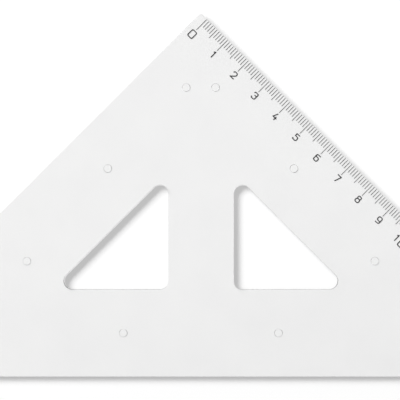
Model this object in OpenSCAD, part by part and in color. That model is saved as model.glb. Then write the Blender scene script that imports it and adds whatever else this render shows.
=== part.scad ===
// Clear 45 degree drafting triangle with a printed centimetre scale on one leg.
// It lies flat as in use: +X along the long side, +Y towards the right-angle corner, +Z up.
// The origin is on the drawing surface, below the middle of the triangle's box.

/* [Plate] */
// Length of the long side, measured between the sharp corners
long_side = 248; // [240:1:320]
// Thickness of the plate
plate_t = 2; // [1.5:0.1:4]
// Radius of the three outer corners
corner_r = 1; // [0.5:0.1:4]

/* [Cut-outs] */
// Width of the band along the long side
long_band = 29.7; // [22:0.1:36]
// Width of the bands along the two legs
leg_band = 30.6; // [24:0.1:36]
// Width of the web between the two cut-outs
web_w = 22.1; // [15:0.1:30]
// Radius of the cut-outs' corners
cutout_r = 3; // [1:0.1:5]

/* [Drawing edges] */
// Width of the step along the top of the long side and the plain leg
step_w = 0.9; // [0.5:0.1:1.8]
// Depth of that step below the top face
step_d = 0.2; // [0.1:0.05:1]

/* [Nubs] */
// Radius of a nub where it meets the underside
nub_r = 1.4; // [1.3:0.1:2.5]
// Radius of a nub's flat foot
nub_foot_r = 1.29; // [0.6:0.01:1.29]
// Height of the nubs, which is the gap that they keep under the plate
nub_h = 0.1; // [0.1:0.05:0.5]
// Distance between the two nubs at the top
top_nub_gap = 10; // [8:0.5:30]
// Distance from the right-angle corner down to those two nubs
top_nub_drop = 25.3; // [20:0.1:34]
// Distance between the two nubs in the bands along the legs
leg_nub_gap = 63.6; // [50:0.1:72]
// Distance of those two nubs from the legs
leg_nub_in = 15; // [12:0.1:20]
// Height of the two nubs near the ends of the legs above the long side
end_nub_up = 39.4; // [36:0.1:42]
// Distance of those two nubs from the legs
end_nub_in = 17.8; // [12:0.1:22]
// Distance between the two nubs in the band along the long side
base_nub_gap = 53; // [30:0.5:90]

/* [Centre line and ring] */
// Width of the engraved centre line and of the ring's groove
groove_w = 0.4; // [0.2:0.05:0.8]
// Depth of those grooves
groove_d = 0.1; // [0.05:0.01:0.4]
// Diameter of the ring
ring_d = 12.4; // [6:0.1:18]
// Height of the ring's centre above the lower edge of the cut-outs
ring_up = 11.9; // [10:0.1:24]

/* [Scale] */
// Distance from the plain leg to the zero line
zero_x = 2.9; // [2.4:0.1:10]
// Pitch of the lines
tick_pitch = 1; // [0.6:0.1:2]
// Width of a line
tick_w = 0.15; // [0.1:0.01:0.3]
// Unprinted margin between the scale leg's edge and the lines
tick_margin = 0.1; // [0.1:0.05:2]
// Length of a millimetre line
tick_len = 2.8; // [2:0.1:4]
// Length of a half-centimetre line
half_tick_len = 3.8; // [3:0.1:5]
// Length of a centimetre line
long_tick_len = 5; // [4:0.1:7]
// Thickness of the printed ink
ink_t = 0.04; // [0.02:0.01:0.08]

/* [Numerals] */
// Height of a figure
figure_h = 2.6; // [2.4:0.1:4]
// Width of a figure
figure_w = 1.8; // [1.7:0.1:2.6]
// Height of a zero, which hangs a little lower than the other figures
zero_h = 3; // [2.4:0.1:4]
// Width of a zero
zero_w = 2.3; // [1.7:0.1:2.8]
// Width of a figure's stroke
stroke_w = 0.34; // [0.2:0.02:0.46]
// Gap between the centimetre lines and the figures
figure_gap = 0.5; // [0.2:0.1:1]
// Gap between the two figures of a number
figure_space = 0.6; // [0.3:0.1:1]

/* [Hidden] */
clear_plastic = [0.93, 0.94, 0.95, 0.35];
ink_black = [0.1, 0.1, 0.11];
arc_fn = 96;
bend_steps = 8;
embed = 0.5;                  // how far a nub's solid runs up into the plate
past = 5;                     // how far a cutting solid runs past what it cuts

leg = long_side / sqrt(2);
height = long_side / 2;
tip_run = 1 / tan(22.5);      // from a 45 degree tip to where its rounding starts, in radii
base_y = -(height - (sqrt(2) - 1) * corner_r) / 2;
apex_y = base_y + height;
underside_z = nub_h;
top_z = underside_z + plate_t;

// The cut-outs are the triangle inside the three bands, split by the web
inner_top = height - sqrt(2) * leg_band;
cutout_leg = inner_top - long_band - web_w / 2;
cutout_y = base_y + long_band;
ring_y = cutout_y + ring_up;

// A nub is part of a ball through the rim of its foot and its rim on the underside
nub_centre_z = (nub_r * nub_r - nub_foot_r * nub_foot_r + nub_h * nub_h) / (2 * nub_h);
nub_ball_r = norm([nub_foot_r, nub_centre_z]);

// Places of the nubs, as distances from the web's middle line and from the long side
nub_spots = [
    [top_nub_gap / 2, height - top_nub_drop],
    [leg_nub_gap / 2, height - leg_nub_gap / 2 - sqrt(2) * leg_nub_in],
    [height - end_nub_up - sqrt(2) * end_nub_in, end_nub_up],
    [base_nub_gap / 2, long_band / 2]
];

// A number has one or two figures and is centred on its line
ticks_per_cm = 10;
figure_top = tick_margin + long_tick_len + figure_gap;
function digits(cm) = cm < 10 ? [cm] : [floor(cm / 10), cm % 10];
function digit_w(digit) = digit == 0 ? zero_w : figure_w;
function number_w(cm) =
    let (d = digits(cm))
    len(d) == 1 ? digit_w(d[0]) : digit_w(d[0]) + figure_space + digit_w(d[1]);

// The scale ends at the last whole centimetre whose number fits beside the step along the long side
number_depth = figure_top + max(figure_h, zero_h);
function line_at(count) = zero_x + count * tick_pitch;
function room_after(cm) = leg - line_at(cm * ticks_per_cm) - number_w(cm) / 2 - number_depth;
whole_cm = floor(leg / (ticks_per_cm * tick_pitch));
last_cm = max([for (cm = [0:whole_cm]) if (room_after(cm) >= sqrt(2) * step_w) cm]);
last_tick = last_cm * ticks_per_cm;

// A right isosceles triangle with rounded corners: the right angle at the origin, its legs along +X and +Y
module rounded_triangle(side, r) {
    tip = tip_run * r;
    slant = tip / sqrt(2);
    polygon([
        [r, 0], [side - tip, 0], [side - tip, r], [side - slant, slant],
        [slant, side - slant], [r, side - tip], [0, side - tip], [0, r], [r, r]
    ]);
    for (centre = [[r, r], [side - tip, r], [r, side - tip]])
        translate(centre) circle(r, $fn = arc_fn);
}

// Frame of the scale leg: +X down the leg from the right-angle corner, +Y outwards, the edge on Y = 0
module on_scale_leg() {
    translate([0, apex_y, 0]) rotate(-45) children();
}

// Both cut-outs, as mirror images about the web
module cutouts() {
    for (side = [0, 1])
        translate([0, cutout_y, underside_z - past])
            mirror([side, 0, 0]) translate([web_w / 2, 0, 0])
                linear_extrude(plate_t + 2 * past) rounded_triangle(cutout_leg, cutout_r);
}

// One nub: a shallow dome with a flat foot on the drawing surface
module nub() {
    rotate_extrude($fn = arc_fn)
        intersection() {
            translate([0, nub_centre_z]) circle(nub_ball_r, $fn = arc_fn);
            square([nub_ball_r, nub_h + embed]);
        }
}

module nubs() {
    for (spot = nub_spots, side = [-1, 1])
        translate([side * spot[0], base_y + spot[1], 0]) nub();
}

// The two drawing edges are thinner than the plate: a shallow step runs along their top
module edge_steps() {
    translate([-height - past, base_y - past, top_z - step_d])
        cube([long_side + 2 * past, past + step_w, past + step_d]);
    on_scale_leg()
        translate([-past, -leg - past, top_z - step_d])
            cube([past + step_w, leg + 2 * past, past + step_d]);
}

// Section of a groove in the underside: a shallow V that opens downwards, carried on below the plate
module groove_section() {
    polygon([[-groove_w, -groove_d], [groove_w, -groove_d], [0, groove_d]]);
}

module groove_run(from_y, to_y) {
    translate([0, to_y, underside_z])
        rotate([90, 0, 0]) linear_extrude(to_y - from_y) groove_section();
}

// The centre line runs from the cut-outs' lower edge to where their slanted edges would meet.
// It stops at the ring and starts again above it.
module centre_line() {
    groove_run(cutout_y, ring_y - ring_d / 2);
    groove_run(ring_y + ring_d / 2, base_y + inner_top);
}

module ring_groove() {
    translate([0, ring_y, underside_z])
        rotate_extrude($fn = arc_fn) translate([ring_d / 2, 0]) groove_section();
}

module plate() {
    color(clear_plastic)
        difference() {
            union() {
                translate([0, apex_y, underside_z])
                    rotate(-135) linear_extrude(plate_t) rounded_triangle(leg, corner_r);
                nubs();
            }
            cutouts();
            edge_steps();
            centre_line();
            ring_groove();
        }
}

// Printed ink lies on the underside, in the gap that the nubs keep
module printed() {
    color(ink_black)
        on_scale_leg() translate([0, 0, underside_z - ink_t]) linear_extrude(ink_t) children();
}

module tick(count, length) {
    translate([line_at(count) - tick_w / 2, -tick_margin - length])
        square([tick_w, length]);
}

module centimetre_ticks() {
    printed()
        for (count = [0:ticks_per_cm:last_tick])
            tick(count, long_tick_len);
}

module half_centimetre_ticks() {
    printed()
        for (count = [ticks_per_cm / 2:ticks_per_cm:last_tick])
            tick(count, half_tick_len);
}

module millimetre_ticks() {
    printed()
        for (count = [0:last_tick])
            if (count % (ticks_per_cm / 2) != 0)
                tick(count, tick_len);
}

// A figure is drawn with strokes through a few corners, each [x, y, bend], where bend is the length
// that is rounded off on both sides of the corner
function unit(v) = v / norm(v);
function left_of(v) = [-v[1], v[0]];
function flat(corner) = [corner[0], corner[1]];

// Points round one corner: a quadratic curve between its two arms
function bent(before, corner, after) =
    let (
        b = flat(corner),
        u = unit(flat(before) - b),
        v = unit(flat(after) - b),
        t = corner[2]
    )
    t == 0 ? [b] : [
        for (i = [0:bend_steps])
            let (s = i / bend_steps)
            (1 - s) * (1 - s) * (b + t * u) + 2 * s * (1 - s) * b + s * s * (b + t * v)
    ];

function open_path(corners) =
    let (last = len(corners) - 1)
    [
        for (i = [0:last])
            each i == 0 || i == last
                ? [flat(corners[i])]
                : bent(corners[i - 1], corners[i], corners[i + 1])
    ];

function closed_path(corners) =
    let (n = len(corners))
    [for (i = [0:n - 1]) each bent(corners[(i + n - 1) % n], corners[i], corners[(i + 1) % n])];

// Sideways step from a path to the edge of its stroke, where two runs of the path meet
function edge_step(before, here, after) =
    let (
        a = left_of(unit(here - before)),
        b = left_of(unit(after - here)),
        m = unit(a + b)
    )
    m * stroke_w / 2 / (m * a);

module open_stroke(corners) {
    path = open_path(corners);
    last = len(path) - 1;
    step = [
        for (i = [0:last])
            i == 0 ? left_of(unit(path[1] - path[0])) * stroke_w / 2
            : i == last ? left_of(unit(path[last] - path[last - 1])) * stroke_w / 2
            : edge_step(path[i - 1], path[i], path[i + 1])
    ];
    polygon(concat(
        [for (i = [0:last]) path[i] + step[i]],
        [for (i = [last:-1:0]) path[i] - step[i]]
    ));
}

module closed_stroke(corners) {
    path = closed_path(corners);
    n = len(path);
    step = [for (i = [0:n - 1]) edge_step(path[(i + n - 1) % n], path[i], path[(i + 1) % n])];
    difference() {
        polygon([for (i = [0:n - 1]) path[i] - step[i]]);
        polygon([for (i = [0:n - 1]) path[i] + step[i]]);
    }
}

// A closed bowl between two heights; ease is the share of its half width that is rounded off at a corner
module bowl(half, low, high, ease = 0.8) {
    bend = min(ease * half, 0.45 * (high - low));
    closed_stroke([[-half, low, bend], [half, low, bend], [half, high, bend], [-half, high, bend]]);
}

// One figure about its own middle; x and y reach the middle of the outermost strokes
module figure(digit) {
    right = figure_w / 2;
    top = figure_h / 2;
    x = right - stroke_w / 2;
    y = top - stroke_w / 2;
    waist = 0.12 * y;
    bend = min(0.8 * x, 0.5 * y);
    tight = max(bend / 2, 0.75 * stroke_w);
    if (digit == 0)
        bowl((zero_w - stroke_w) / 2, y - zero_h + stroke_w, y, ease = 0.5);
    if (digit == 1) {
        open_stroke([[-0.6 * x, 0.6 * y, 0], [0.15 * x, y, 0]]);
        open_stroke([[0.15 * x, top, 0], [0.15 * x, -top, 0]]);
    }
    if (digit == 2) {
        open_stroke([[-x, 0.5 * y, 0], [-x, y, 0.45 * y], [x, y, bend], [x, waist, tight], [-x, -y, 0]]);
        open_stroke([[-right, -y, 0], [right, -y, 0]]);
    }
    if (digit == 3) {
        open_stroke([
            [-x, 0.6 * y, 0], [-x, y, 0.3 * y], [x, y, tight], [x, waist, tight], [-0.3 * x, waist, 0]
        ]);
        open_stroke([
            [-0.3 * x, waist, 0], [x, waist, tight], [x, -y, bend], [-x, -y, 0.3 * y], [-x, -0.6 * y, 0]
        ]);
    }
    if (digit == 4) {
        open_stroke([[0.1 * x, top, 0], [-0.9 * x, -0.4 * y, 0], [right, -0.4 * y, 0]]);
        open_stroke([[0.45 * x, waist, 0], [0.45 * x, -top, 0]]);
    }
    if (digit == 5)
        open_stroke([
            [x, y, 0], [-0.8 * x, y, 0], [-0.8 * x, 2 * waist, 0], [x, 2 * waist, bend],
            [x, -y, bend], [-x, -y, 0.3 * y], [-x, -0.6 * y, 0]
        ]);
    if (digit == 6) {
        open_stroke([[x, y, 0], [-x, y, bend], [-x, -y, bend], [0.25 * x, -y, 0]]);
        open_stroke([[-x, 2 * waist, 0], [x, 2 * waist, bend], [x, -y, bend], [0, -y, 0]]);
    }
    if (digit == 7)
        open_stroke([[-right, y, 0], [0.9 * x, y, 0], [-0.3 * x, -top, 0]]);
    if (digit == 8) {
        bowl(x, -y, waist);
        bowl(0.85 * x, waist, y);
    }
    if (digit == 9)
        rotate(180) figure(6);
}

// The number of a centimetre line, upright towards the scale leg's edge and centred on its line
module numeral(cm) {
    d = digits(cm);
    last = len(d) - 1;
    printed()
        translate([line_at(cm * ticks_per_cm), -figure_top - figure_h / 2])
            for (i = [0:last])
                translate([(i - last / 2) * (number_w(cm) - digit_w(d[i])), 0]) figure(d[i]);
}

plate();
millimetre_ticks();
half_centimetre_ticks();
centimetre_ticks();
for (cm = [0:last_cm])
    numeral(cm);
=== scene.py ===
import math
import bpy
import bmesh
import numpy as np
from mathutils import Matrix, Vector
from mathutils.geometry import delaunay_2d_cdt


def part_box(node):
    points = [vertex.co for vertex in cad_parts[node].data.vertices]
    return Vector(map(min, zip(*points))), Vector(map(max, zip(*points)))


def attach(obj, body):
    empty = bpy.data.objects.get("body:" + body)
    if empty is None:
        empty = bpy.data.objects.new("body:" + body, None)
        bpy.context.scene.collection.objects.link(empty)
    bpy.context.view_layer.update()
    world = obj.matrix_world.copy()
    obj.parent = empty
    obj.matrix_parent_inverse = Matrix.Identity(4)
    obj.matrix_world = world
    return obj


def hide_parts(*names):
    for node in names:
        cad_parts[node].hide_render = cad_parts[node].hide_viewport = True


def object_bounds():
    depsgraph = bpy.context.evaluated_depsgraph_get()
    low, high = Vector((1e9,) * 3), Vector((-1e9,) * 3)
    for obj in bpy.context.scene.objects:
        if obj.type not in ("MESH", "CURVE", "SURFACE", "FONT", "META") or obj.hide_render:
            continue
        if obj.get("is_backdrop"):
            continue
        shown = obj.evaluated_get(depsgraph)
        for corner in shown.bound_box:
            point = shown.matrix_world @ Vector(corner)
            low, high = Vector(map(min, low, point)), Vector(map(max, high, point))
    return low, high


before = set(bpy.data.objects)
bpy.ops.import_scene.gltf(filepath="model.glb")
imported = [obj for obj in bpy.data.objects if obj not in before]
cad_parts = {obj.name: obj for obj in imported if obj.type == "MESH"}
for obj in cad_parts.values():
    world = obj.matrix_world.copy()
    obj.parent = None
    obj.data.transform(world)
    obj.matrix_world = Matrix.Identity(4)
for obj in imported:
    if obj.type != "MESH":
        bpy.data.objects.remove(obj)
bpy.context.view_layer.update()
plateLow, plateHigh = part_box("plate")
mm = 0.001
nearly = 1e-6  # mm, below which two places count as one
scene = bpy.context.scene
print("frame loaded,", len(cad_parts), "nodes")


# The clear plate. Everything below is in mm until the mesh is made

plateSizes = {  # as in the solids, and below them the mould's finish
    "longSide": 248.0,
    "thickness": 2.0,
    "cornerRadius": 1.0,
    "longBand": 29.7,
    "legBand": 30.6,
    "webWidth": 22.1,
    "cutoutRadius": 3.0,
    "stepWidth": 0.9,
    "stepDepth": 0.2,
    "cutoutDraft": 0.1,  # the cut-outs narrow by this towards the bottom
    "softEdge": 0.08,  # radius of the moulded edges
    "crispEdge": 0.02,  # and of the lower outer edges, where the mould parts
    "softSteps": 6,
    "arcSteps": 20,
    "inkGrip": 0.003,  # how deep the printed film sits in the underside
    "sewWithin": 0.00002,
    "sharpAngle": 28.0,  # degrees, from which an edge shades sharp
}
nubSizes = {
    "radius": 1.4,
    "footRadius": 1.29,
    "height": 0.1,
    "topGap": 10.0,
    "topDrop": 25.3,
    "legGap": 63.6,
    "legIn": 15.0,
    "endUp": 39.4,
    "endIn": 17.8,
    "baseGap": 53.0,
    "rings": 6,
    "around": 48,
}
grooveSizes = {
    "width": 0.4,
    "depth": 0.1,
    "ringDiameter": 12.4,
    "ringUp": 11.9,
    "taper": 0.6,  # run-out at the free ends of the centre line
    "around": 96,
}

root2 = math.sqrt(2.0)
height = plateSizes["longSide"] / 2
leg = plateSizes["longSide"] / root2
baseY = plateLow.y / mm
apex = np.array([0.0, baseY + height])
topZ = plateHigh.z / mm
undersideZ = topZ - plateSizes["thickness"] - plateSizes["inkGrip"]
stepZ = topZ - plateSizes["stepDepth"]
footZ = topZ - plateSizes["thickness"] - nubSizes["height"]
innerTop = height - root2 * plateSizes["legBand"]
cutoutLeg = innerTop - plateSizes["longBand"] - plateSizes["webWidth"] / 2
cutoutY = baseY + plateSizes["longBand"]


# Right isosceles triangle, right angle at the origin, legs along +x and +y. Each corner is an arc:
# point = centre + radius * (cos a, sin a), with a running from one side's normal to the next one's
def roundedTriangle(side, radius, steps):
    tip = radius / math.tan(math.radians(22.5))  # half of the acute corners' 45 degrees
    centres = np.array([[radius, radius], [side - tip, radius], [radius, side - tip]])
    starts = np.array([180.0, 270.0, 45.0])
    sweeps = np.array([90.0, 135.0, 135.0])
    angles = np.radians(starts[:, None] + sweeps[:, None] * np.linspace(0.0, 1.0, steps))
    normals = np.stack([np.cos(angles), np.sin(angles)], axis=-1)
    points = centres[:, None, :] + radius * normals
    return points.reshape(-1, 2), normals.reshape(-1, 2)


# Ring of points at one height: the outline moved along its normals by offset
def ringAt(loop, normals, offset, z):
    flat = loop + normals * offset
    return np.column_stack([flat, np.full(len(flat), z)])


# Quarter round of an edge: inset = r (1 - sin t), depth = r (1 - cos t), t from 0 to 90 degrees
def quarterRound(radius, steps):
    t = np.linspace(0.0, math.pi / 2, steps)
    return radius * (1 - np.sin(t)), radius * (1 - np.cos(t))


# Surface between neighbouring rings, closed round: face (i, j) joins rings i and i + 1 at columns j and j + 1
def carriedProfile(rings):
    rows, columns = len(rings), len(rings[0])
    index = np.arange(rows * columns).reshape(rows, columns)
    ahead = np.roll(index, -1, axis=1)
    faces = np.stack([index[:-1], ahead[:-1], ahead[1:], index[1:]], axis=-1)
    return np.concatenate(rings), faces.reshape(-1, 4)


# Index pairs that close a loop of count points which starts at first
def closedLines(first, count):
    index = first + np.arange(count)
    return np.column_stack([index, np.roll(index, -1)])


# True where a point lies left of every side of a convex loop
def insideLoop(points, loop):
    side = np.roll(loop, -1, axis=0) - loop
    away = points[:, None, :] - loop[None, :, :]
    return (side[None, :, 0] * away[..., 1] - side[None, :, 1] * away[..., 0] > 0).all(axis=1)


# Fill of a flat region: triangles through all points that keep every line, less those inside a hole;
# the height of each point is heightOf(x, y)
def filledRegion(points, lines, holes, heightOf):
    found = delaunay_2d_cdt(points.tolist(), lines.tolist(), [], 1, nearly, False)
    flat = np.array(found[0])
    faces = np.array(found[2])
    middle = flat[faces].mean(axis=1)
    keep = np.ones(len(faces), bool)
    for hole in holes:
        keep &= ~insideLoop(middle, hole)
    return np.column_stack([flat, heightOf(flat)]), faces[keep]


# Outline of the plate, with the right angle at the top
turn = math.radians(-135.0)
turned = np.array([[math.cos(turn), -math.sin(turn)], [math.sin(turn), math.cos(turn)]])
outline, outlineNormals = roundedTriangle(leg, plateSizes["cornerRadius"], plateSizes["arcSteps"])
outline = outline @ turned.T + apex
outlineNormals = outlineNormals @ turned.T


# Outline inside the steps of the two drawing edges. Where a corner's arc crosses the line that lies width
# inside such an edge, the arc's points beyond that line all move to the crossing. Points that are then still
# beyond the other line move to where both lines cross
def steppedOutline(loop, width):
    feet = np.array([[0.0, baseY], apex])
    inward = np.array([[0.0, 1.0], [1 / root2, -1 / root2]])
    reach = width + (feet * inward).sum(axis=1)
    stepped = loop.copy()
    for beyond in reach[:, None] - inward @ loop.T:
        for arc in np.arange(len(loop)).reshape(3, -1):
            for i in np.nonzero(np.diff(beyond[arc] > 0))[0]:
                last, first = arc[i], arc[i + 1]
                share = beyond[last] / (beyond[last] - beyond[first])
                stepped[arc[beyond[arc] > 0]] = loop[last] + share * (loop[first] - loop[last])
    still = (reach - stepped @ inward.T > nearly).any(axis=1)
    stepped[still] = np.linalg.solve(inward, reach)
    return stepped


# The two cut-outs, the left one as a mirror image of the right one, both counterclockwise
cutoutLoop, cutoutNormals = roundedTriangle(cutoutLeg, plateSizes["cutoutRadius"], plateSizes["arcSteps"])
flip = np.array([-1.0, 1.0])
besideWeb = np.array([plateSizes["webWidth"] / 2, 0.0])
webFoot = np.array([0.0, cutoutY])
cutouts = [
    (cutoutLoop + besideWeb + webFoot, cutoutNormals),
    (((cutoutLoop + besideWeb) * flip + webFoot)[::-1], (cutoutNormals * flip)[::-1]),
]

insets, depths = quarterRound(plateSizes["softEdge"], plateSizes["softSteps"])
patches = []

# Outer edge from the top down: rounded edge of the top face, wall of the step, tread, its rounded edge,
# wall and rounded lower edge. On the scale leg there is no step, and those rings run into one another
stepWidth = plateSizes["stepWidth"]
stepFoot = steppedOutline(outline, stepWidth)
onStep = np.clip(np.linalg.norm(stepFoot - outline, axis=1) / stepWidth, 0, 1)
outerRings = []
for inset, depth in zip(insets, depths):
    loop = steppedOutline(outline - outlineNormals * inset, stepWidth + inset)
    outerRings.append(ringAt(loop, outlineNormals, 0.0, topZ - depth))
outerRings.append(ringAt(stepFoot, outlineNormals, 0.0, stepZ))
for inset, depth in zip(insets, depths):
    tread = ringAt(outline, outlineNormals * onStep[:, None], -inset, stepZ)
    outerRings.append(tread - np.outer(depth * onStep, [0.0, 0.0, 1.0]))
crispInsets, crispDepths = quarterRound(plateSizes["crispEdge"], plateSizes["softSteps"])
for inset, depth in zip(crispInsets[::-1], crispDepths[::-1]):
    outerRings.append(ringAt(outline, outlineNormals, -inset, undersideZ + depth))
patches.append(carriedProfile(outerRings))

# Edges of the cut-outs: rounded at the top and at the bottom
cutoutRings = []
draft = plateSizes["cutoutDraft"]
for loop, normals in cutouts:
    upper = [ringAt(loop, normals, inset, topZ - depth) for inset, depth in zip(insets, depths)]
    lower = [ringAt(loop, normals, inset, undersideZ + depth) for inset, depth in zip(insets - draft, depths)]
    cutoutRings.append(upper + lower[::-1])
    patches.append(carriedProfile(cutoutRings[-1]))


# A loop without the points that repeat the one before them
def distinctLoop(loop):
    return loop[np.linalg.norm(loop - np.roll(loop, 1, axis=0), axis=1) > nearly]


# Top face
topLoops = [distinctLoop(outerRings[0][:, :2])] + [rings[0][:, :2] for rings in cutoutRings]
topStarts = np.cumsum([0] + [len(loop) for loop in topLoops])
topLines = [closedLines(first, len(loop)) for first, loop in zip(topStarts, topLoops)]
patches.append(
    filledRegion(
        np.concatenate(topLoops),
        np.concatenate(topLines),
        topLoops[1:],
        lambda flat: np.full(len(flat), topZ),
    )
)

# Places of the nubs: distances from the web's middle line and above the long side, on both sides
nubPairs = np.array(
    [
        [nubSizes["topGap"] / 2, height - nubSizes["topDrop"]],
        [nubSizes["legGap"] / 2, height - nubSizes["legGap"] / 2 - root2 * nubSizes["legIn"]],
        [height - nubSizes["endUp"] - root2 * nubSizes["endIn"], nubSizes["endUp"]],
        [nubSizes["baseGap"] / 2, plateSizes["longBand"] / 2],
    ]
)
nubSpots = np.concatenate([nubPairs, nubPairs * flip]) + np.array([0.0, baseY])
nubCentreZ = nubSizes["radius"] ** 2 - nubSizes["footRadius"] ** 2 + nubSizes["height"] ** 2
nubCentreZ = nubCentreZ / (2 * nubSizes["height"])
nubBall = math.hypot(nubSizes["footRadius"], nubCentreZ)

ringRadius = grooveSizes["ringDiameter"] / 2
ringCentre = np.array([0.0, cutoutY + grooveSizes["ringUp"]])
halfGroove = grooveSizes["width"] / 2
lineRuns = np.array(
    [
        [cutoutY, ringCentre[1] - ringRadius],
        [ringCentre[1] + ringRadius, baseY + innerTop],
    ]
)


# Height of the underside: flat, raised in a groove by depth * (1 - distance / half width), and lowered at a
# nub to the ball z = centre - sqrt(R^2 - r^2), which the drawing surface cuts off at the foot
def undersideHeight(flat):
    fromRing = np.abs(np.linalg.norm(flat - ringCentre, axis=1) - ringRadius)
    lift = np.clip(1 - fromRing / halfGroove, 0, 1)
    fromLine = np.clip(1 - np.abs(flat[:, 0]) / halfGroove, 0, 1)
    lowRun = np.clip((flat[:, 1] - lineRuns[0, 0]) / grooveSizes["taper"], 0, 1)
    lowRun = lowRun * (flat[:, 1] <= lineRuns[0, 1] + nearly)
    highRun = np.clip((lineRuns[1, 1] - flat[:, 1]) / grooveSizes["taper"], 0, 1)
    highRun = highRun * (flat[:, 1] >= lineRuns[1, 0] - nearly)
    lift = np.maximum(lift, fromLine * np.maximum(lowRun, highRun))
    fromNub = np.linalg.norm(flat[:, None, :] - nubSpots[None, :, :], axis=2).min(axis=1)
    ball = nubCentreZ - np.sqrt(nubBall**2 - np.minimum(fromNub, nubSizes["radius"]) ** 2)
    ball = footZ + np.where(fromNub < nubSizes["footRadius"] + nearly, 0.0, np.maximum(ball, 0.0))
    onNub = fromNub < nubSizes["radius"] - nearly
    return np.where(onNub, np.minimum(ball, undersideZ), undersideZ + grooveSizes["depth"] * lift)


# Circle of count points round a centre
def circleAt(centre, radius, count):
    a = np.linspace(0.0, 2 * math.pi, count, endpoint=False)
    return centre + radius * np.column_stack([np.cos(a), np.sin(a)])


# Underside: its outline, the cut-outs, circles of the nubs and of the ring's groove, and the centre line
underLoops = [outerRings[-1][:, :2]] + [rings[-1][:, :2] for rings in cutoutRings]
nubRadii = np.linspace(nubSizes["footRadius"], nubSizes["radius"], nubSizes["rings"])
underLoops += [circleAt(spot, r, nubSizes["around"]) for spot in nubSpots for r in nubRadii]
ringRadii = [ringRadius - halfGroove, ringRadius, ringRadius + halfGroove]
underLoops += [circleAt(ringCentre, r, grooveSizes["around"]) for r in ringRadii]
underStarts = np.cumsum([0] + [len(loop) for loop in underLoops])
underLines = [closedLines(first, len(loop)) for first, loop in zip(underStarts, underLoops)]

lineEnds = []
for low, high in lineRuns:
    for side in (-halfGroove, halfGroove):
        lineEnds.append([[side, low], [side, high]])
creaseEnds = [
    [[0.0, lineRuns[0, 0]], [0.0, lineRuns[0, 0] + grooveSizes["taper"]]],
    [[0.0, lineRuns[0, 0] + grooveSizes["taper"]], [0.0, lineRuns[0, 1]]],
    [[0.0, lineRuns[1, 0]], [0.0, lineRuns[1, 1] - grooveSizes["taper"]]],
    [[0.0, lineRuns[1, 1] - grooveSizes["taper"]], [0.0, lineRuns[1, 1]]],
    [[-halfGroove, lineRuns[0, 0]], [0.0, lineRuns[0, 0]]],
    [[0.0, lineRuns[0, 0]], [halfGroove, lineRuns[0, 0]]],
    [[-halfGroove, lineRuns[1, 1]], [0.0, lineRuns[1, 1]]],
    [[0.0, lineRuns[1, 1]], [halfGroove, lineRuns[1, 1]]],
]
linePoints = np.array(lineEnds + creaseEnds).reshape(-1, 2)
lineIndex = underStarts[-1] + np.arange(len(linePoints)).reshape(-1, 2)
patches.append(
    filledRegion(
        np.concatenate(underLoops + [linePoints]),
        np.concatenate(underLines + [lineIndex]),
        underLoops[1:3],
        undersideHeight,
    )
)


# One mesh from all patches, in metres, sewn together where their rims meet
def sewnMesh(name, parts):
    starts = np.cumsum([0] + [len(points) for points, faces in parts[:-1]])
    points = np.concatenate([points for points, faces in parts]) * mm
    faces = []
    for first, part in zip(starts, parts):
        faces += (part[1] + first).tolist()
    mesh = bpy.data.meshes.new(name)
    mesh.from_pydata(points.tolist(), [], faces)
    sewn = bmesh.new()
    sewn.from_mesh(mesh)
    bmesh.ops.remove_doubles(sewn, verts=sewn.verts, dist=plateSizes["sewWithin"] * mm)
    bmesh.ops.recalc_face_normals(sewn, faces=sewn.faces)
    loose = sum(1 for edge in sewn.edges if not edge.is_manifold)
    sewn.to_mesh(mesh)
    sewn.free()
    mesh.shade_smooth()
    mesh.set_sharp_from_angle(angle=math.radians(plateSizes["sharpAngle"]))
    print(name, len(mesh.vertices), "points,", len(mesh.polygons), "faces, open edges:", loose)
    return mesh


clearPlate = bpy.data.objects.new("clearPlate", sewnMesh("clearPlate", patches))
scene.collection.objects.link(clearPlate)
flatFaces = clearPlate.modifiers.new("flatFaces", "WEIGHTED_NORMAL")  # the wide faces shade flat
flatFaces.keep_sharp = True
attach(clearPlate, "root")
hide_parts("plate")


# Materials

def addNode(tree, kind, place, **settings):
    made = tree.nodes.new(kind)
    made.location = place
    for key, value in settings.items():
        setattr(made, key, value)
    return made


# Links an input to another node's output, or gives it a plain value
def feed(tree, socket, value):
    if isinstance(value, bpy.types.NodeSocket):
        tree.links.new(value, socket)
    else:
        socket.default_value = value


def feedAll(tree, node, values):
    for name, value in values.items():
        feed(tree, node.inputs[name], value)


def addMath(tree, place, operation, *values):
    made = addNode(tree, "ShaderNodeMath", place, operation=operation)
    for socket, value in zip(made.inputs, values):
        feed(tree, socket, value)
    return made.outputs["Value"]


def addNoise(tree, place, vector, scale, detail):
    made = addNode(tree, "ShaderNodeTexNoise", place)
    feedAll(tree, made, {"Vector": vector, "Scale": scale, "Detail": detail})
    return made.outputs["Fac"]


def addRange(tree, place, value, old, new):
    made = addNode(tree, "ShaderNodeMapRange", place)
    feedAll(tree, made, {"Value": value, "From Min": old[0], "From Max": old[1]})
    feedAll(tree, made, {"To Min": new[0], "To Max": new[1]})
    return made.outputs["Result"]


def addBlend(tree, place, factor, first, second):
    made = addNode(tree, "ShaderNodeMix", place, data_type="RGBA")
    feedAll(tree, made, {"Factor": factor, "A": first, "B": second})
    return made.outputs["Result"]


def addBump(tree, place, height, strength, distance):
    made = addNode(tree, "ShaderNodeBump", place)
    feedAll(tree, made, {"Height": height, "Strength": strength, "Distance": distance})
    return made.outputs["Normal"]


def addShaders(tree, place, kind, first, second, factor=None):
    made = addNode(tree, kind, place)
    if factor is not None:
        tree.links.new(factor, made.inputs["Fac"])
    tree.links.new(first, made.inputs[-2])
    tree.links.new(second, made.inputs[-1])
    return made.outputs["Shader"]


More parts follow.
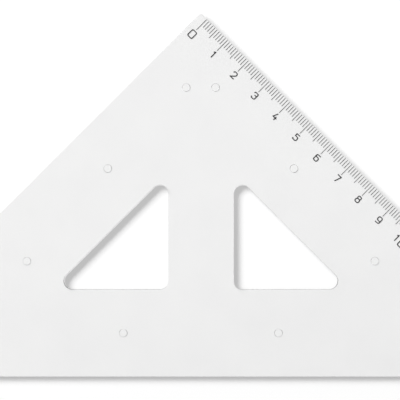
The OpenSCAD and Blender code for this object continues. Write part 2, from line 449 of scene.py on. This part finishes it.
def newMaterial(name):
    made = bpy.data.materials.new(name)
    made.use_nodes = True
    made.node_tree.nodes.clear()
    return made, made.node_tree


def showSurface(tree, place, shader):
    out = addNode(tree, "ShaderNodeOutputMaterial", place)
    tree.links.new(shader, out.inputs["Surface"])


whole = (0.0, 1.0)  # range of a mask

marksLook = {
    "cloudScale": 60.0,
    "cloudDetail": 4.0,
    "cloudLimits": (0.35, 0.7),
    "scratchLimits": (0.72, 0.8),
    "scratchScale": 1.0,
    "scratchDetail": 1.0,
    "scratchLays": [  # angle in degrees, and fineness along, across and through
        (31.0, (60.0, 7000.0, 60.0)),
        (-58.0, (45.0, 9000.0, 45.0)),
    ],
}


# Marks of handling, for the plastic and the print: cloudy haze, and fine straight scratches in two directions
def handlingMarks():
    look = marksLook
    group = bpy.data.node_groups.new("handlingMarks", "ShaderNodeTree")
    group.interface.new_socket("Vector", in_out="INPUT", socket_type="NodeSocketVector")
    group.interface.new_socket("Haze", in_out="OUTPUT", socket_type="NodeSocketFloat")
    group.interface.new_socket("Scratches", in_out="OUTPUT", socket_type="NodeSocketFloat")
    start = addNode(group, "NodeGroupInput", (-900, 0))
    end = addNode(group, "NodeGroupOutput", (700, 0))
    cloud = addNoise(group, (-600, 300), start.outputs["Vector"], look["cloudScale"], look["cloudDetail"])
    haze = addRange(group, (-300, 300), cloud, look["cloudLimits"], whole)
    group.links.new(haze, end.inputs["Haze"])
    scratches = []
    for row, (angle, stretch) in enumerate(look["scratchLays"]):
        lay = addNode(group, "ShaderNodeMapping", (-600, -250 * row))
        turn = (0.0, 0.0, math.radians(angle))
        feedAll(group, lay, {"Vector": start.outputs["Vector"], "Rotation": turn, "Scale": stretch})
        vector = lay.outputs["Vector"]
        streak = addNoise(group, (-300, -250 * row), vector, look["scratchScale"], look["scratchDetail"])
        scratches.append(addRange(group, (0, -250 * row), streak, look["scratchLimits"], whole))
    either = addMath(group, (400, -100), "MAXIMUM", *scratches)
    group.links.new(either, end.inputs["Scratches"])
    return group


marks = handlingMarks()

plasticLook = {
    "tint": (0.97, 0.97, 0.968, 1.0),
    "tintCloudy": (0.95, 0.95, 0.95, 1.0),
    "ior": 1.57,
    "roughness": (0.015, 0.05),  # clear and hazy
    "flowScale": 35.0,  # unevenness left by the flow in the mould
    "flowDetail": 1.0,
    "scratchRelief": -0.04,
    "bumpStrength": 0.15,
    "bumpDistance": 0.00004,
    "wallLimits": (0.75, 0.9),  # of the normal's z: a wall below the first, flat above the second
    "passFlat": (0.952, 0.952, 0.952, 1.0),  # lamp light that a wide face lets through
    "passWall": (0.09, 0.09, 0.09, 1.0),  # lamp light that goes on straight through an edge
    "passDeep": (0.35, 0.35, 0.35, 1.0),  # what is left of light mirrored to and fro inside
    "deepFrom": 3.5,  # after so many turns
}


# Clear moulded plastic: glass with a faint haze. Lamp light goes straight on through the wide faces.
# The upright edges, met from outside, turn it aside and so cast the shadow. Light that was mirrored often
# inside the plate goes straight on, dimmed
def clearPlastic():
    look = plasticLook
    made, tree = newMaterial("clearPlastic")
    place = addNode(tree, "ShaderNodeTexCoord", (-1400, 0))
    wear = addNode(tree, "ShaderNodeGroup", (-1150, 100), node_tree=marks)
    tree.links.new(place.outputs["Object"], wear.inputs["Vector"])
    haze, scratches = wear.outputs["Haze"], wear.outputs["Scratches"]
    flow = addNoise(tree, (-1150, -250), place.outputs["Object"], look["flowScale"], look["flowDetail"])
    relief = addMath(tree, (-900, -200), "MULTIPLY_ADD", scratches, look["scratchRelief"], flow)
    glass = addNode(tree, "ShaderNodeBsdfPrincipled", (-400, 250))
    feedAll(tree, glass, {
        "Transmission Weight": 1.0,
        "IOR": look["ior"],
        "Base Color": addBlend(tree, (-700, 350), haze, look["tint"], look["tintCloudy"]),
        "Roughness": addRange(tree, (-700, 100), haze, whole, look["roughness"]),
        "Normal": addBump(tree, (-700, -200), relief, look["bumpStrength"], look["bumpDistance"]),
    })
    axes = addNode(tree, "ShaderNodeSeparateXYZ", (-1150, -500))
    tree.links.new(place.outputs["Normal"], axes.inputs["Vector"])
    level = addMath(tree, (-900, -500), "ABSOLUTE", axes.outputs["Z"])
    wall = addRange(tree, (-700, -500), level, look["wallLimits"], whole[::-1])
    surface = addNode(tree, "ShaderNodeNewGeometry", (-900, -750))
    outside = addMath(tree, (-700, -750), "SUBTRACT", 1.0, surface.outputs["Backfacing"])
    entered = addMath(tree, (-500, -600), "MULTIPLY", wall, outside)
    path = addNode(tree, "ShaderNodeLightPath", (-700, 650))
    shadow, diffuse = path.outputs["Is Shadow Ray"], path.outputs["Is Diffuse Ray"]
    turned = addMath(tree, (-300, -600), "MULTIPLY", entered, shadow)
    passed = addBlend(tree, (-300, -400), turned, look["passFlat"], look["passWall"])
    deep = addMath(tree, (-300, 700), "GREATER_THAN", path.outputs["Ray Depth"], look["deepFrom"])
    clear = addNode(tree, "ShaderNodeBsdfTransparent", (100, -300))
    tree.links.new(addBlend(tree, (-100, -400), deep, passed, look["passDeep"]), clear.inputs["Color"])
    lit = addMath(tree, (-300, 500), "MAXIMUM", shadow, diffuse)
    straight = addMath(tree, (-100, 600), "MAXIMUM", lit, deep)
    kind = "ShaderNodeMixShader"
    both = addShaders(tree, (150, 100), kind, glass.outputs["BSDF"], clear.outputs["BSDF"], straight)
    showSurface(tree, (400, 100), both)
    return made


inkLook = {
    "dark": (0.012, 0.012, 0.014, 1.0),
    "thin": (0.045, 0.045, 0.05, 1.0),
    "grainScale": 4000.0,  # specks of the screen print per metre
    "grainDetail": 3.0,
    "speckLimits": (0.45, 0.75),
    "roughness": (0.45, 0.7),
    "bumpStrength": 0.3,
    "bumpDistance": 0.00001,
}


# Printed ink: black with thinner specks, matt, and a little uneven
def printedInk():
    look = inkLook
    made, tree = newMaterial("printedInk")
    place = addNode(tree, "ShaderNodeTexCoord", (-1000, 0))
    wear = addNode(tree, "ShaderNodeGroup", (-800, -150), node_tree=marks)
    tree.links.new(place.outputs["Object"], wear.inputs["Vector"])
    grain = addNoise(tree, (-800, 200), place.outputs["Object"], look["grainScale"], look["grainDetail"])
    speck = addRange(tree, (-550, 200), grain, look["speckLimits"], whole)
    ink = addNode(tree, "ShaderNodeBsdfPrincipled", (0, 100))
    feedAll(tree, ink, {
        "Base Color": addBlend(tree, (-300, 200), speck, look["dark"], look["thin"]),
        "Roughness": addRange(tree, (-300, -50), wear.outputs["Haze"], whole, look["roughness"]),
        "Normal": addBump(tree, (-300, -300), grain, look["bumpStrength"], look["bumpDistance"]),
    })
    showSurface(tree, (300, 100), ink.outputs["BSDF"])
    return made


clearPlate.data.materials.append(clearPlastic())
inkMaterial = printedInk()
inkNodes = [node for name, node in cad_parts.items() if name != "plate"]
for node in inkNodes:
    node.data.materials.clear()
    node.data.materials.append(inkMaterial)
print("materials on the plate and", len(inkNodes), "printed pieces")


# Floor, light and camera

studio = {
    "floorReach": 3.0,
    "floorZ": -0.00001,  # a hair below the nubs' feet
    "floorColour": (0.8, 0.8, 0.8, 1.0),
    # the glow is weaker low in the picture: painted shade that darkens the plate there
    "lift": (0.222, 0.255),  # added for the eye only: low in the picture, and from its middle upwards
    "liftAlong": (-0.15, 0.99, 0.0),
    "liftLimits": (-0.065, -0.005),
    "domeLight": 0.36,
    "domeSeen": (1.0, 0.5),  # near the horizon and overhead
    "domeLimits": (0.2, 1.0),
    "keyPower": 876.0,
    "keyAzimuth": 142.0,
    "keyElevation": 33.5,
    "keyDistance": 8.0,
    "keyWide": 5.8,
    "keyTall": 3.0,
    "cameraDistance": 0.5,
    "cameraX": -0.00028,
    "cameraY": -0.00153,
    "cameraClip": (0.01, 20.0),
    "frameWidth": 0.1368,  # width of the picture on the printed scale
    "sensor": 36.0,
}


# One where a surface is looked at and zero where it only gives light
def seenRays(tree, x, y):
    path = addNode(tree, "ShaderNodeLightPath", (x, y))
    camera, glossy = path.outputs["Is Camera Ray"], path.outputs["Is Glossy Ray"]
    direct = addMath(tree, (x + 200, y), "MAXIMUM", camera, glossy)
    return addMath(tree, (x + 400, y), "MAXIMUM", direct, path.outputs["Is Transmission Ray"])


# Pale paper with a glow for the eye only, so that the open floor is white. The glow is weaker low in the
# picture, a painted shade on the plate seen over it there. It isn't there from below
def paleFloor():
    reach, z = studio["floorReach"], studio["floorZ"]
    mesh = bpy.data.meshes.new("floor")
    corners = [(-reach, -reach, z), (reach, -reach, z), (reach, reach, z), (-reach, reach, z)]
    mesh.from_pydata(corners, [], [(0, 1, 2, 3)])
    floor = bpy.data.objects.new("floor", mesh)
    scene.collection.objects.link(floor)
    made, tree = newMaterial("floorPaper")
    paper = addNode(tree, "ShaderNodeBsdfDiffuse", (0, 100))
    paper.inputs["Color"].default_value = studio["floorColour"]
    place = addNode(tree, "ShaderNodeTexCoord", (-1100, 200))
    along = addNode(tree, "ShaderNodeVectorMath", (-900, 200), operation="DOT_PRODUCT")
    feed(tree, along.inputs[0], place.outputs["Object"])
    feed(tree, along.inputs[1], studio["liftAlong"])
    # painted shade: the glow weakens towards the bottom of the picture
    fade = addRange(tree, (-700, 200), along.outputs["Value"], studio["liftLimits"], studio["lift"])
    glow = addNode(tree, "ShaderNodeEmission", (100, -150))
    lift = addMath(tree, (-100, -150), "MULTIPLY", seenRays(tree, -800, -150), fade)
    tree.links.new(lift, glow.inputs["Strength"])
    kind = "ShaderNodeAddShader"
    both = addShaders(tree, (300, 0), kind, paper.outputs["BSDF"], glow.outputs["Emission"])
    surface = addNode(tree, "ShaderNodeNewGeometry", (300, 250))
    clear = addNode(tree, "ShaderNodeBsdfTransparent", (300, -200))
    kind, back = "ShaderNodeMixShader", surface.outputs["Backfacing"]
    showSurface(tree, (700, 0), addShaders(tree, (500, 0), kind, both, clear.outputs["BSDF"], back))
    mesh.materials.append(made)
    floor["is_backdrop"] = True


def studioDome():
    world = bpy.data.worlds.new("studioDome")
    world.use_nodes = True
    tree = world.node_tree
    tree.nodes.clear()
    place = addNode(tree, "ShaderNodeTexCoord", (-900, 200))
    axes = addNode(tree, "ShaderNodeSeparateXYZ", (-700, 200))
    tree.links.new(place.outputs["Generated"], axes.inputs["Vector"])
    fade = addRange(tree, (-500, 200), axes.outputs["Z"], studio["domeLimits"], studio["domeSeen"])
    seen = addNode(tree, "ShaderNodeBackground", (-200, 200))
    tree.links.new(fade, seen.inputs["Strength"])
    light = addNode(tree, "ShaderNodeBackground", (-200, 0))
    light.inputs["Strength"].default_value = studio["domeLight"]
    kind, looked = "ShaderNodeMixShader", seenRays(tree, -900, -200)
    both = addShaders(tree, (100, 100), kind, light.outputs["Background"], seen.outputs["Background"], looked)
    out = addNode(tree, "ShaderNodeOutputWorld", (300, 100))
    tree.links.new(both, out.inputs["Surface"])
    scene.world = world


# The lamp is hidden from mirrored and bent rays, because its images in the plate's two faces would hide half
# of the plate from some sides
def keyLamp():
    lamp = bpy.data.lights.new("keyLamp", "AREA")
    lamp.energy = studio["keyPower"]
    lamp.shape = "RECTANGLE"
    lamp.size = studio["keyWide"]
    lamp.size_y = studio["keyTall"]
    key = bpy.data.objects.new("keyLamp", lamp)
    scene.collection.objects.link(key)
    azimuth, elevation = math.radians(studio["keyAzimuth"]), math.radians(studio["keyElevation"])
    level = math.cos(elevation)
    towards = Vector((math.cos(azimuth) * level, math.sin(azimuth) * level, math.sin(elevation)))
    key.location = towards * studio["keyDistance"]
    key.rotation_mode = "QUATERNION"
    key.rotation_quaternion = towards.to_track_quat("Z", "Y")
    key.visible_camera = False
    key.visible_glossy = False
    key.visible_transmission = False


def photoCamera():
    data = bpy.data.cameras.new("photoCamera")
    data.sensor_width = studio["sensor"]
    data.lens = studio["sensor"] * studio["cameraDistance"] / studio["frameWidth"]
    data.clip_start, data.clip_end = studio["cameraClip"]
    camera = bpy.data.objects.new("photoCamera", data)
    camera.location = (studio["cameraX"], studio["cameraY"], studio["cameraDistance"])
    scene.collection.objects.link(camera)
    scene.camera = camera


paleFloor()
studioDome()
keyLamp()
photoCamera()
scene.view_settings.view_transform = "Standard"
print("floor, light and camera set")

low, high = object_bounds()
